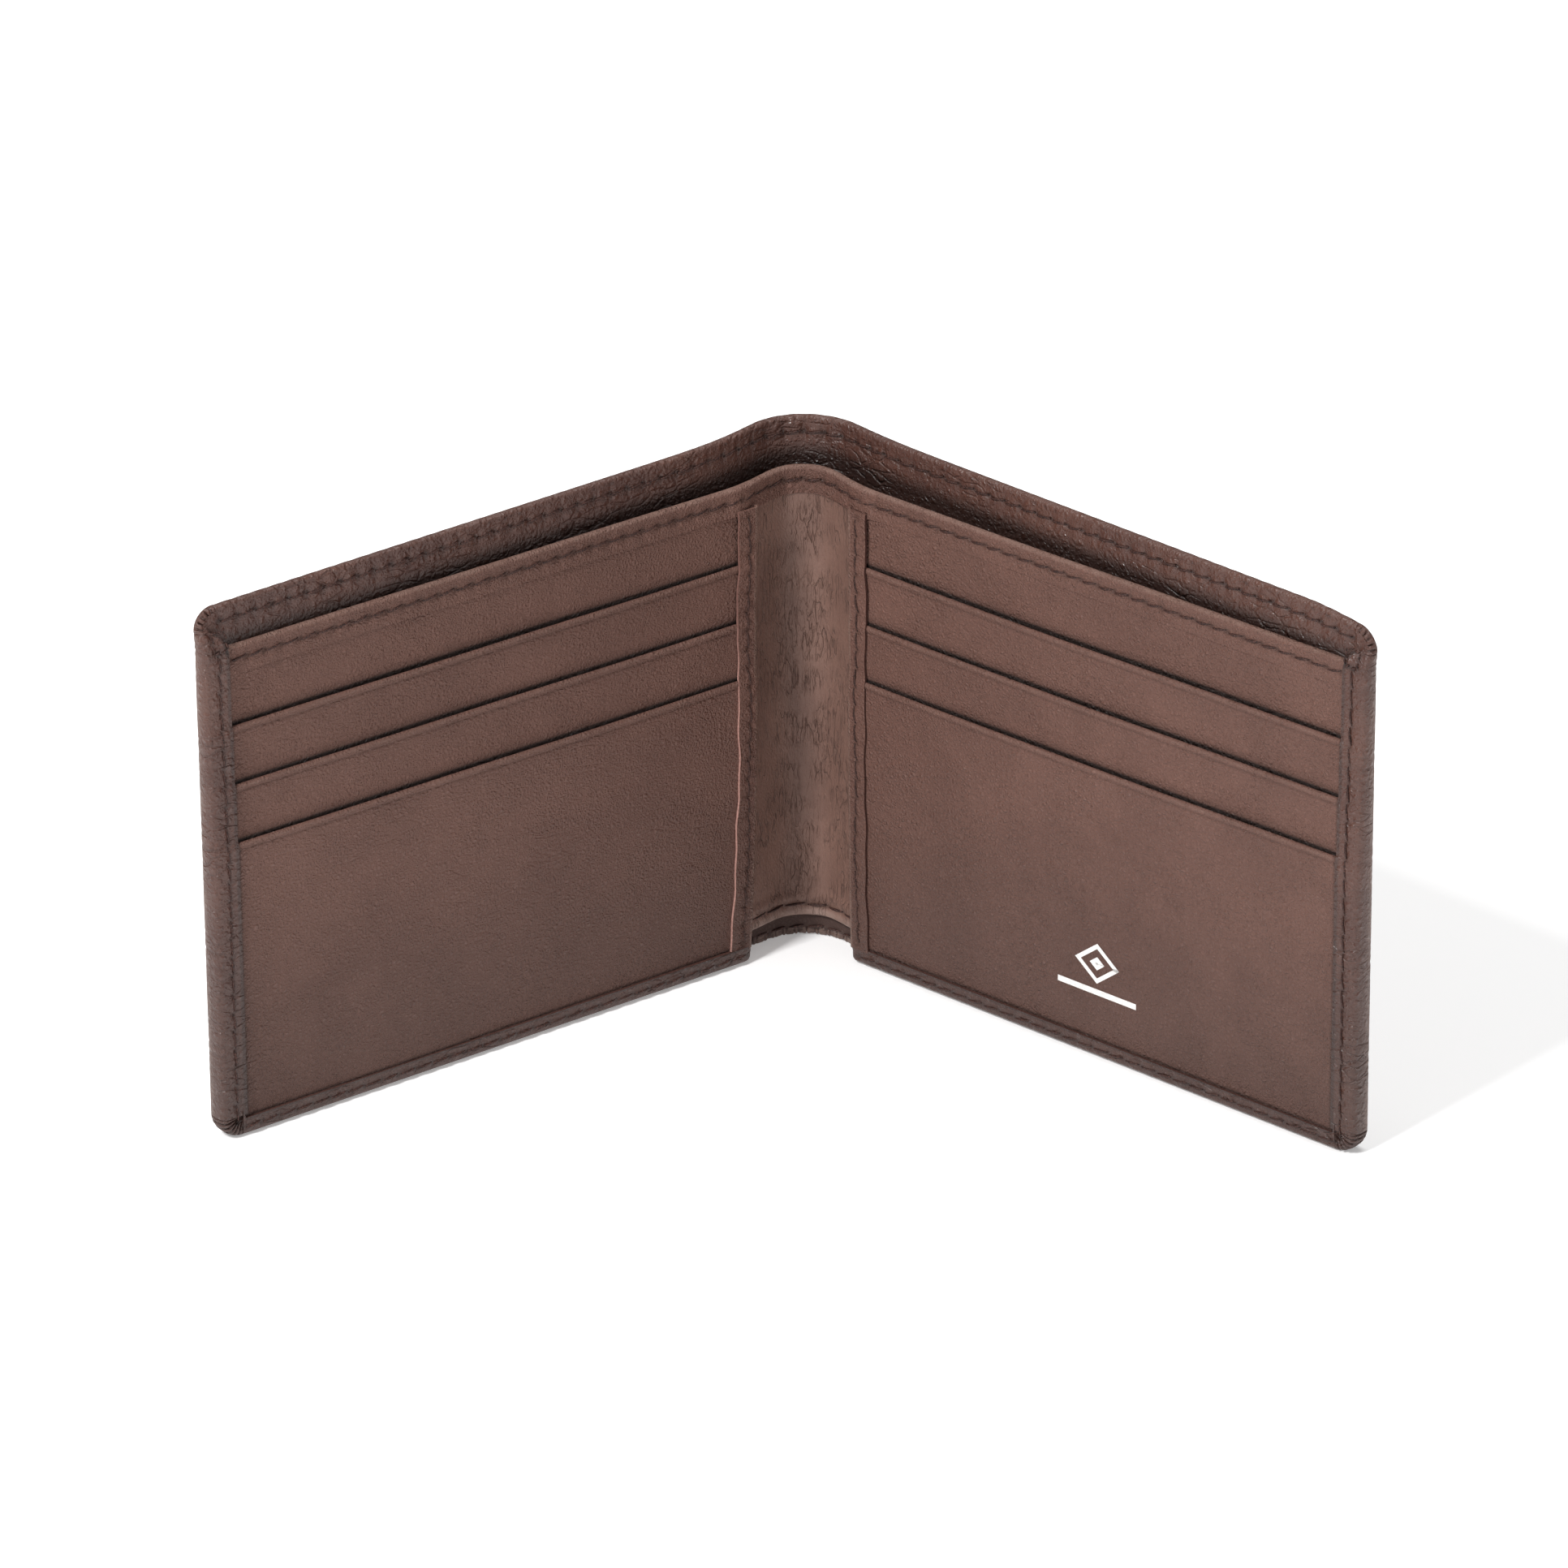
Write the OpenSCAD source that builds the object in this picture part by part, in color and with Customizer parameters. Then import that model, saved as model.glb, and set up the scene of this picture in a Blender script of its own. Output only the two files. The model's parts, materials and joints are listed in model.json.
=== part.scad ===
// Bifold wallet, standing half open on its bottom edges.
// Z is up. The spine is at the back (+Y) and both halves swing out towards -Y, the left one to -X.
// The origin is the middle of the footprint, on the surface that the wallet stands on.
//
// A half is drawn once, in its own plan frame, and mirrored for the left side:
// x runs from the hinge line of the spine to the outer edge, y towards the outside of the wallet,
// and the card panel lies parallel to x. The shell leans away from it by the angle shell_lean,
// so the note compartment between the two is widest at the spine and closed at the outer edge.

/* [Overall] */
// Height of the outer leather
wallet_h = 90; // [84:1:100]
// Length of a half, from the spine edge of its card panel to its outer edge
half_l = 104; // [98:1:112]
// Angle of each half from the width axis: 0 lies flat, 90 is shut
open_angle = 39; // [34:1:44]
// Radius of the outer corners
corner_r = 3.8; // [2:0.2:6]

/* [Spine] */
// Distance between the two hinge lines of the spine
spine_w = 12.4; // [11.6:0.2:14]
// Depth from the hinge line to the front of the card panels
panel_depth = 5.5; // [5.4:0.1:5.8]
// Thickness of the spine's inner strip
strip_t = 0.6; // [0.4:0.1:0.8]

/* [Shell] */
// Thickness of the outer leather
shell_t = 0.9; // [0.7:0.1:1]
// Thickness of the stiffener inside the shell
stiffener_t = 0.35; // [0.3:0.05:0.4]
// Thickness of the lining of the note compartment
lining_t = 0.25; // [0.2:0.05:0.3]
// Angle between the shell and the card panel
shell_lean = 1.15; // [1:0.05:1.2]
// Width of the leather turned in at the bottom edge
turn_bottom = 3; // [2.4:0.1:4]
// Width of the leather turned in at the outer edge
turn_side = 4.2; // [3.4:0.1:5]
// Width of the leather turned in at the top edge
turn_top = 5.4; // [4:0.1:6]
// Thickness of the leather where it is turned in
turn_t = 0.45; // [0.3:0.05:0.6]

/* [Card panel] */
// Height of the card panel's top edge
panel_top = 83.3; // [82:0.1:84]
// Height of the uppermost pocket mouth
first_mouth = 70; // [68:0.5:72]
// Step from one pocket mouth down to the next
mouth_step = 9.75; // [8:0.25:11]
// Thickness of the pocket and panel leather
leaf_t = 0.4; // [0.3:0.05:0.45]
// Clearance between two leaves of leather
leaf_gap = 0.06; // [0.04:0.01:0.08]
// Width of the binding at the panel's spine edge
binding_w = 3.9; // [3:0.1:5]
// Depth of the panel's top hem
hem_h = 4.7; // [3.5:0.1:6]

/* [Sewing] */
// Thickness of the sewing thread
thread_d = 0.5; // [0.4:0.05:0.6]
// Distance between stitches
stitch_pitch = 3.4; // [3:0.1:4]
// Share of the pitch that shows as thread
stitch_share = 0.76; // [0.6:0.02:0.9]

/* [Hidden] */
$fn = 64;

outer_leather = [0.36, 0.25, 0.22];
inner_leather = [0.42, 0.31, 0.28];
lining_leather = [0.27, 0.18, 0.16];
board = [0.55, 0.46, 0.36];
thread = [0.47, 0.27, 0.23];
silver_foil = [0.86, 0.85, 0.84];

// Plan of a half; the gaps at the hinge line let the two parts of the shell fold without touching
hinge_x = spine_w / 2;
front = -panel_depth;
panel_edge_w = 14.2;
panel_start = (panel_edge_w / 2 - hinge_x + panel_depth * sin(open_angle)) / cos(open_angle);
outer_end = panel_start + half_l;
joint_gap = 0.35;
turn_gap = 0.65;
wall_start = 3;
fit_gap = 0.05;

// Layers of the shell, measured in its own leaning frame from its middle plane
shell_out = shell_t / 2;
board_face = -shell_t / 2;
lining_face = board_face - stiffener_t;
shell_in = lining_face - lining_t;

// Leaves of the card panel, from the front pocket back to the compartment wall
leaf_step = leaf_t + leaf_gap;
pocket_front = [for (i = [0:2]) front + i * leaf_step];
panel_front = front + 3 * leaf_step;
wall_front = panel_front + leaf_step;
leaf_start = panel_start + turn_t + fit_gap;
leaf_end = outer_end - shell_t - fit_gap;
floor_t = 0.8;
leaf_bottom = floor_t + fit_gap;
third_mouth = first_mouth - 2 * mouth_step;
pocket_depth = third_mouth - leaf_bottom;
mouth_z = [third_mouth, third_mouth + mouth_step, first_mouth];

// Spine: the shell's arc runs into both halves' shells, and the inner strip lies in front of it
shell_angle = open_angle + shell_lean;
shell_arc_r = hinge_x / sin(shell_angle);
arc_rise = shell_arc_r * (1 - cos(shell_angle));
arc_trim = joint_gap / shell_arc_r * 180 / PI;
turn_trim = turn_gap / shell_arc_r * 180 / PI;
strip_r = 6.5;
strip_half_w = 4.4;
strip_angle = asin(strip_half_w / strip_r);
strip_depth = 0.4;
strip_bottom = 3.9;
strip_hem_h = 4;

// The footprint's middle is at y = 0
hinge_to_back = arc_rise + shell_out;
hinge_to_front = outer_end * sin(open_angle) - (front - turn_t) * cos(open_angle);
hinge_y = (hinge_to_front - hinge_to_back) / 2;

// Sewing lines
shell_top_line = wallet_h - 2.6;
shell_bottom_line = 1.6;
side_line = outer_end - 2.3;
panel_top_line = panel_top - 2.4;
binding_line = panel_start + 1.8;
strip_hem_line = strip_bottom + 2.1;
stitch_l = stitch_pitch * stitch_share;

// Foil mark on the right front pocket
mark_x = panel_start + 51.8;
mark_z = 16.5;
mark_t = 0.08;

// ---- Placing ----

// Puts a half, drawn in its own frame, at its hinge line
module half(side) {
    mirror([side == "left" ? 1 : 0, 0, 0])
        translate([hinge_x, hinge_y, 0])
            rotate([0, 0, -open_angle])
                children();
}

// Turns a half's frame into the leaning frame of its shell
module lean() {
    rotate([0, 0, -shell_lean])
        children();
}

// ---- Plain shapes ----

// A leaf of leather or board between two lengths, two depths and two heights
module leaf(x0, x1, y0, y1, z0, z1) {
    translate([x0, y0, z0])
        cube([x1 - x0, y1 - y0, z1 - z0]);
}

// Everything of a half inside its rounded outer outline
module outline_of_half() {
    depth = 4 * panel_depth;
    translate([0, depth / 2, 0])
        rotate([90, 0, 0])
            linear_extrude(depth) {
                translate([-1, 0])
                    square([outer_end - corner_r + 1, wallet_h]);
                translate([0, corner_r])
                    square([outer_end, wallet_h - 2 * corner_r]);
                for (z = [corner_r, wallet_h - corner_r])
                    translate([outer_end - corner_r, z])
                        circle(corner_r);
            }
}

// A wall that follows an arc around the spine: r0 and r1 are its faces, angle its half width
module arc_wall(centre_y, r0, r1, angle, z0, z1) {
    reach = 2 * r1;
    translate([0, centre_y, z0])
        linear_extrude(z1 - z0)
            intersection() {
                difference() {
                    circle(r1);
                    circle(r0);
                }
                polygon([
                    [0, 0],
                    [-reach * sin(angle), reach * cos(angle)],
                    [0, reach],
                    [reach * sin(angle), reach * cos(angle)]
                ]);
            }
}

// ---- Sewing ----

// The half round of a stitch, flat on y = 0 and bulging towards +y
module stitch_profile() {
    intersection() {
        circle(d = thread_d);
        translate([-thread_d / 2, 0])
            square([thread_d, thread_d / 2]);
    }
}

// One stitch along x, flat on y = 0; facing is 1 towards +y and -1 towards -y
module stitch_along(facing) {
    rotate([0, 90, facing > 0 ? 0 : 180])
        linear_extrude(stitch_l, center = true)
            stitch_profile();
}

// One stitch along z, flat on y = 0
module stitch_up(facing) {
    rotate([0, 0, facing > 0 ? 0 : 180])
        linear_extrude(stitch_l, center = true)
            stitch_profile();
}

// A level row of stitches from x0 to x1 on the plane y
module row_along(x0, x1, y, z, facing) {
    count = floor((x1 - x0) / stitch_pitch);
    first = (x0 + x1 - (count - 1) * stitch_pitch) / 2;
    for (i = [0:count - 1])
        translate([first + i * stitch_pitch, y, z])
            stitch_along(facing);
}

// An upright row of stitches from z0 to z1 on the plane y
module row_up(x, y, z0, z1, facing) {
    count = floor((z1 - z0) / stitch_pitch);
    first = (z0 + z1 - (count - 1) * stitch_pitch) / 2;
    for (i = [0:count - 1])
        translate([x, y, first + i * stitch_pitch])
            stitch_up(facing);
}

// A level row of stitches on the inside of an arc at the spine
module row_on_arc(centre_y, r, angle, z) {
    count = floor(2 * r * angle * PI / 180 / stitch_pitch);
    step = stitch_pitch / r * 180 / PI;
    for (i = [0:count - 1])
        translate([0, centre_y, z])
            rotate([0, 0, (i - (count - 1) / 2) * step])
                translate([0, r * cos(step * stitch_share / 2), 0])
                    stitch_along(-1);
}

// ---- Spine ----

shell_arc_y = hinge_y + arc_rise - shell_arc_r;
strip_arc_y = hinge_y - strip_depth - strip_r;

module spine_shell() {
    color(outer_leather) {
        arc_wall(
            shell_arc_y, shell_arc_r + board_face, shell_arc_r + shell_out,
            shell_angle - arc_trim, 0, wallet_h
        );
        for (z = [[0, turn_bottom], [wallet_h - turn_top, wallet_h]])
            arc_wall(
                shell_arc_y, shell_arc_r + shell_in, shell_arc_r,
                shell_angle - turn_trim, z[0], z[1]
            );
    }
}

module spine_lining() {
    color(lining_leather)
        arc_wall(
            shell_arc_y, shell_arc_r + board_face - lining_t, shell_arc_r + board_face,
            shell_angle - turn_trim, turn_bottom + fit_gap, wallet_h - turn_top - fit_gap
        );
}

module spine_strip() {
    color(inner_leather) {
        arc_wall(strip_arc_y, strip_r - strip_t / 2, strip_r + strip_t / 2, strip_angle, strip_bottom, panel_top);
        for (z = [[strip_bottom, strip_bottom + strip_hem_h], [panel_top - hem_h, panel_top]])
            arc_wall(strip_arc_y, strip_r, strip_r + strip_t / 2 + turn_t, strip_angle, z[0], z[1]);
    }
}

module spine_shell_seam(z) {
    color(thread)
        row_on_arc(shell_arc_y, shell_arc_r + shell_in, shell_angle - turn_trim, z);
}

module spine_strip_seam(z) {
    color(thread)
        row_on_arc(strip_arc_y, strip_r - strip_t / 2, strip_angle, z);
}

// ---- Outer half: shell, stiffener and lining ----

module shell_half(side) {
    shell_end = outer_end + corner_r;
    floor_plan = [
        [panel_start, front - turn_t],
        [outer_end, front - turn_t],
        [outer_end, -outer_end * tan(shell_lean)],
        [panel_start, -panel_start * tan(shell_lean)]
    ];
    side_plan = [
        [outer_end - shell_t, front - turn_t],
        [outer_end, front - turn_t],
        [outer_end, -outer_end * tan(shell_lean)],
        [outer_end - shell_t, -(outer_end - shell_t) * tan(shell_lean)]
    ];
    color(outer_leather)
        half(side)
            intersection() {
                outline_of_half();
                union() {
                    lean() {
                        leaf(joint_gap, shell_end, board_face, shell_out, 0, wallet_h);
                        leaf(turn_gap, leaf_end, shell_in, 0, 0, turn_bottom);
                        leaf(turn_gap, leaf_end, shell_in, 0, wallet_h - turn_top, wallet_h);
                    }
                    linear_extrude(floor_t)
                        polygon(floor_plan);
                    linear_extrude(wallet_h)
                        polygon(side_plan);
                    leaf(panel_start, outer_end, front - turn_t, front, 0, turn_bottom);
                    leaf(outer_end - turn_side, outer_end, front - turn_t, front, 0, panel_top);
                }
            }
}

module stiffener_half(side) {
    color(board)
        half(side)
            lean()
                leaf(
                    wall_start + 1, leaf_end - fit_gap, lining_face, board_face,
                    turn_bottom + fit_gap, wallet_h - turn_top - fit_gap
                );
}

module lining_half(side) {
    color(lining_leather)
        half(side)
            lean()
                leaf(
                    turn_gap, leaf_end - fit_gap, shell_in, lining_face,
                    turn_bottom + fit_gap, wallet_h - turn_top - fit_gap
                );
}

// ---- Inner half: compartment wall, card panel, pockets and binding ----

module compartment_wall_half(side) {
    color(lining_leather)
        half(side)
            leaf(wall_start, leaf_end, wall_front, wall_front + lining_t, leaf_bottom, panel_top - leaf_t - fit_gap);
}

module card_panel_half(side) {
    color(inner_leather)
        half(side) {
            leaf(leaf_start, leaf_end, panel_front, panel_front + leaf_t, leaf_bottom, panel_top);
            leaf(leaf_start, leaf_end, panel_front, wall_front + lining_t, panel_top - leaf_t, panel_top);
        }
}

// Pocket 0 is at the front with the lowest mouth, pocket 2 at the back with the highest
module pocket_half(side, level) {
    top = mouth_z[level];
    color(inner_leather)
        half(side)
            leaf(
                leaf_start, leaf_end, pocket_front[level], pocket_front[level] + leaf_t,
                top - pocket_depth, top
            );
}

module binding_half(side) {
    bottom = turn_bottom + fit_gap;
    top = panel_top - hem_h;
    color(inner_leather)
        half(side) {
            leaf(panel_start, panel_start + binding_w, front - turn_t, front, bottom, top);
            leaf(panel_start, panel_start + turn_t, front - turn_t, panel_front + leaf_t, bottom, top);
        }
}

// ---- Seams of a half ----

module shell_top_seam_half(side) {
    color(thread)
        half(side)
            lean() {
                row_along(wall_start, leaf_end - corner_r, shell_in, shell_top_line, -1);
                row_along(wall_start, leaf_end - corner_r, shell_out, shell_top_line, 1);
            }
}

module side_seam_half(side) {
    color(thread)
        half(side) {
            row_up(side_line, front - turn_t, corner_r, panel_top - corner_r, -1);
            lean()
                row_up(side_line, shell_out, corner_r, wallet_h - corner_r, 1);
        }
}

module bottom_seam_half(side) {
    color(thread)
        half(side) {
            row_along(panel_start + 1, outer_end - corner_r, front - turn_t, shell_bottom_line, -1);
            lean()
                row_along(panel_start + 1, outer_end - corner_r, shell_out, shell_bottom_line, 1);
        }
}

module panel_top_seam_half(side) {
    color(thread)
        half(side)
            row_along(leaf_start, outer_end - turn_side - thread_d, panel_front, panel_top_line, -1);
}

module binding_seam_half(side) {
    color(thread)
        half(side)
            row_up(binding_line, front - turn_t, turn_bottom + 1, panel_top - hem_h - 1, -1);
}

// ---- Foil mark: a plain lozenge over a short bar ----

module foil_mark() {
    lozenge_w = 9;
    lozenge_h = 7;
    band = 0.7;
    bar = [16, 1];
    color(silver_foil)
        half("right")
            translate([mark_x, front, mark_z])
                rotate([90, 0, 0])
                    linear_extrude(mark_t) {
                        difference() {
                            lozenge(lozenge_w, lozenge_h);
                            lozenge(lozenge_w - 2 * band, lozenge_h - 2 * band);
                        }
                        lozenge(lozenge_w / 3, lozenge_h / 3);
                        translate([-bar[0] / 2, -lozenge_h / 2 - 2 * bar[1]])
                            square(bar);
                    }
}

module lozenge(w, h) {
    polygon([[-w / 2, 0], [0, -h / 2], [w / 2, 0], [0, h / 2]]);
}

// ---- Nodes ----

spine_shell();
spine_lining();
spine_strip();
spine_shell_seam(shell_top_line);  // spine_shell_top_seam
spine_shell_seam(shell_bottom_line);  // spine_shell_bottom_seam
spine_strip_seam(panel_top_line);  // spine_strip_top_seam
spine_strip_seam(strip_hem_line);  // spine_strip_hem_seam

shell_half("left");  // left_shell
stiffener_half("left");  // left_stiffener
lining_half("left");  // left_lining
compartment_wall_half("left");  // left_compartment_wall
card_panel_half("left");  // left_card_panel
pocket_half("left", 2);  // left_top_pocket
pocket_half("left", 1);  // left_middle_pocket
pocket_half("left", 0);  // left_bottom_pocket
binding_half("left");  // left_binding
shell_top_seam_half("left");  // left_shell_top_seam
side_seam_half("left");  // left_side_seam
bottom_seam_half("left");  // left_bottom_seam
panel_top_seam_half("left");  // left_panel_top_seam
binding_seam_half("left");  // left_binding_seam

shell_half("right");  // right_shell
stiffener_half("right");  // right_stiffener
lining_half("right");  // right_lining
compartment_wall_half("right");  // right_compartment_wall
card_panel_half("right");  // right_card_panel
pocket_half("right", 2);  // right_top_pocket
pocket_half("right", 1);  // right_middle_pocket
pocket_half("right", 0);  // right_bottom_pocket
binding_half("right");  // right_binding
shell_top_seam_half("right");  // right_shell_top_seam
side_seam_half("right");  // right_side_seam
bottom_seam_half("right");  // right_bottom_seam
panel_top_seam_half("right");  // right_panel_top_seam
binding_seam_half("right");  // right_binding_seam
foil_mark();  // right_foil_mark
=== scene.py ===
"""Looks of the bifold wallet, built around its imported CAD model.

Sizes are in millimetres and become metres when a mesh is made. A half's plan frame has s from its hinge
line to its outer edge and y towards the outside of the wallet. The left half mirrors the right one. The
shell also has a path length u, from the middle of the spine along its outer face, and a depth inwards.
"""

import json
import math

import bmesh
import bpy
import numpy as np
from mathutils import Matrix, Vector


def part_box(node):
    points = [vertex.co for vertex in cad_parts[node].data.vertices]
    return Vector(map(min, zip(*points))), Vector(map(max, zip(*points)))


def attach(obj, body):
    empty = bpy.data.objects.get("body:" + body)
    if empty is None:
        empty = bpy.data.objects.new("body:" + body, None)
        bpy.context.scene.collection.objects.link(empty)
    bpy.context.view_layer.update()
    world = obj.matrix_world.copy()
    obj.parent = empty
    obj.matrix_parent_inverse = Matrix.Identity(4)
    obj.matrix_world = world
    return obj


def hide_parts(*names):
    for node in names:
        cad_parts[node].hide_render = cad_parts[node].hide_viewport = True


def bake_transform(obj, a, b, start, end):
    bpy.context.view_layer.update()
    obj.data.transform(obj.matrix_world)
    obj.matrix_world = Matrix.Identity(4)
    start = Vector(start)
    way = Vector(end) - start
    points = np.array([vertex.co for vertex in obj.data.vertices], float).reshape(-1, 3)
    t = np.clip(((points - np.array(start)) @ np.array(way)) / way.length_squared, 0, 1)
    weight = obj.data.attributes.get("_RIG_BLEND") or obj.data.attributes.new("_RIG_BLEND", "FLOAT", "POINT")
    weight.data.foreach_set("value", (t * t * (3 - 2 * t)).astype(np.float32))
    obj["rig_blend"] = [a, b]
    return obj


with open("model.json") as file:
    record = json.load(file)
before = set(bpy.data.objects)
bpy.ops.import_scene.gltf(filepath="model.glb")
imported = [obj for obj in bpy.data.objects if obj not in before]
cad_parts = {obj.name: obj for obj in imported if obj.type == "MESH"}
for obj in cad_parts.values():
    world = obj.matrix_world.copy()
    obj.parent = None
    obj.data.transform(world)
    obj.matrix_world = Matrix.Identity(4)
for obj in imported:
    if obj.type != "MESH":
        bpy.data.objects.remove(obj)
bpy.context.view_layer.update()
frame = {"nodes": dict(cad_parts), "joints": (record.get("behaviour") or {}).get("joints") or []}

MM = 0.001
SIDES = ("left", "right")
SIGN = {"left": -1, "right": 1}
OPEN = math.radians(39)  # each half from the width axis
LEAN = math.radians(1.15)  # the shell from the card panel
COS, SIN = math.cos(OPEN), math.sin(OPEN)


# ---- Places taken from the frame ----


def joint_place(name):
    """x and y of a hinge line."""
    joint = next(j for j in frame["joints"] if j["name"] == name)
    return joint["pos_m"][0] / MM, joint["pos_m"][1] / MM


HINGE_X, HINGE_Y = joint_place("right_fold")


def half_box(node):
    """Lowest and highest s, y and z of a node of the right half, in its plan frame."""
    points = np.array([v.co for v in frame["nodes"][node].data.vertices]) / MM
    x, y = points[:, 0] - HINGE_X, points[:, 1] - HINGE_Y
    local = np.stack([x * COS - y * SIN, x * SIN + y * COS, points[:, 2]], 1)
    return local.min(0), local.max(0)


PANEL_START = half_box("right_binding")[0][0]
BINDING_W = half_box("right_binding")[1][0] - PANEL_START
FLANGE_Y = half_box("right_shell")[0][1]
OUTER_END = half_box("right_shell")[1][0]
WALLET_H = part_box("right_shell")[1].z / MM
PANEL_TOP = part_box("right_card_panel")[1].z / MM
BAND_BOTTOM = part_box("right_binding")[1].z / MM
LEAF_START = half_box("right_bottom_pocket")[0][0]
STRIP_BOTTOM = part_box("spine_strip")[0].z / MM
POCKETS = ("bottom", "middle", "top")
MOUTHS = [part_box(f"right_{level}_pocket")[1].z / MM for level in POCKETS]

# Leather sizes
CORNER_R = 3.8
SHELL_T = 1.5
FLANGE_T = 0.6
FLANGE_STEP = 0.3  # rise of the turned edge and the binding at each pocket mouth
SPINE_TURN_T = 0.2  # what the turned bottom edge adds to the spine's thickness
SPINE_TURN_EXTRA_W = 2.2  # how much further it reaches up at the spine
LEAF_T = 0.42
LEAF_STEP = 0.46
STRIP_T = 0.6
BINDING_T = 0.45
FLANGE_BOTTOM_W = 3.2
LEAF_BOTTOM = FLANGE_BOTTOM_W - 0.9
FLANGE_SIDE_W = OUTER_END - half_box("right_panel_top_seam")[1][0] - 0.5
POCKET_Y = FLANGE_Y + BINDING_T
PANEL_Y = POCKET_Y + 3 * LEAF_STEP
WALL_Y = PANEL_Y + LEAF_STEP
LEAF_END = OUTER_END - 1.7

# Sewing lines
SHELL_TOP_LINE = WALLET_H - 2.6
SIDE_LINE = OUTER_END - 2.8
BOTTOM_LINE = 1.7
PANEL_TOP_LINE = PANEL_TOP - 2.4
STRIP_HEM_LINE = STRIP_BOTTOM + 2.1
PITCH = 3.2

# The shell's outer face: an arc round the spine that runs into the leaning half
OUTER_Y = 0.45
ARC_ANGLE = OPEN + LEAN
ARC_R = HINGE_X / math.sin(ARC_ANGLE) + OUTER_Y
ARC_Y = HINGE_Y - HINGE_X / math.tan(ARC_ANGLE)
ARC_U = ARC_R * ARC_ANGLE
U_END = ARC_U + OUTER_END

# The shell's top edge: how far it bows out, and how far it falls towards its outer corner
SPINE_TOP_BULGE = 3.1
SPINE_BULGE_W = 12
HALF_TOP_BULGE = {"left": 0.2, "right": 1.7}
CORNER_DROP = {"left": 0.0, "right": 1.5}
CORNER_DROP_W = 14

# The spine's inner leather: where its hem and its strip reach the halves, and how far back they bulge
BAND_S = 10.5
BAND_Y = PANEL_Y + 0.55
BAND_APEX = HINGE_Y + 1.0
STRIP_S = 10.0
STRIP_Y = WALL_Y + 0.75
STRIP_APEX = HINGE_Y + 0.75
APEX_HANDLE = 5.4
END_HANDLE = 8.5

BLEND_W = 9.0  # width of leather, from the middle of the spine, that bends at a hinge


# ---- Plan of the leather ----


def smooth(value, low, high):
    """0 below low, 1 above high and smooth between them, either way round."""
    t = np.clip((value - low) / (high - low), 0, 1)
    return t * t * (3 - 2 * t)


def bump(value, centre, width):
    """A smooth rise of height 1."""
    return np.exp(-(((value - centre) / width) ** 2))


def gather(value, pitch):
    """1 in valleys a pitch apart, 0 on the rounded ridges between them."""
    return (1 - np.abs(np.sin(math.pi * value / pitch))) ** 1.6


def half_point(side, s, y, z):
    """Row-frame place of a point in a half's plan frame."""
    s, y, z = np.broadcast_arrays(s, y, z)
    return np.stack([SIGN[side] * (HINGE_X + s * COS + y * SIN), HINGE_Y - s * SIN + y * COS, z], -1)


def half_normal(side, s_part, y_part):
    """Row-frame direction of a direction in a half's plan frame."""
    return np.array([SIGN[side] * (s_part * COS + y_part * SIN), -s_part * SIN + y_part * COS, 0.0])


def wave(side, s, z):
    """How far the leaves of a card panel bow, as thin leather does."""
    phase = {"left": 0.4, "right": 2.5}[side]
    slow = 0.13 * np.sin(s / 17 + phase) * np.sin(z / 14 + 1.3 * phase)
    return slow + 0.04 * np.sin(s / 7.3 + z / 9.1 + phase)


def level_step(z):
    """How many pocket mouths lie below a height, with soft steps."""
    return sum(smooth(z, mouth - 0.9, mouth + 0.9) for mouth in MOUTHS)


def fold_s(side, z):
    """The panel's spine edge, which drifts a little towards the bottom and the top."""
    low = {"left": 1.7, "right": 0.4}[side]
    high = {"left": 0.9, "right": 0.4}[side]
    return PANEL_START + low * np.clip(1 - z / 45, 0, 1) ** 1.7 - high * smooth(z, 52, 78)


def shell_point(side, u, z, depth):
    """A point of the shell: u along its outer face, and a depth inwards from it."""
    u, z, depth = np.broadcast_arrays(u, z, depth)
    angle = np.clip(u / ARC_R, 0, ARC_ANGLE)
    straight = np.maximum(u - ARC_U, 0)
    flare = np.clip(z / WALLET_H, 0, 1) ** 1.6
    spine = bump(u, 0, SPINE_BULGE_W)
    bulge = HALF_TOP_BULGE[side] * (1 - straight / OUTER_END) * (1 - spine) + SPINE_TOP_BULGE * spine
    out = flare * bulge - depth
    fall = np.clip((straight - OUTER_END + CORNER_DROP_W) / CORNER_DROP_W, 0, 1) ** 1.6
    z = z - CORNER_DROP[side] * fall * smooth(z, WALLET_H - 10, WALLET_H - 1)
    x = (ARC_R + out) * np.sin(angle) + straight * math.cos(ARC_ANGLE)
    y = ARC_Y + (ARC_R + out) * np.cos(angle) - straight * math.sin(ARC_ANGLE)
    return np.stack([SIGN[side] * x, y, z], -1)


def flange_depth(u, z):
    """Depth of the turned edge's front face below the shell's outer face, where it lies over the panel."""
    s = u - ARC_U
    return OUTER_Y - s * math.tan(LEAN) - FLANGE_Y - FLANGE_STEP * level_step(z)


def side_share(z):
    """0 at the top end of the turned side edge, 1 where it lies flat on the card panel."""
    return smooth(z, WALLET_H - 0.4, WALLET_H - 7.5)


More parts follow.
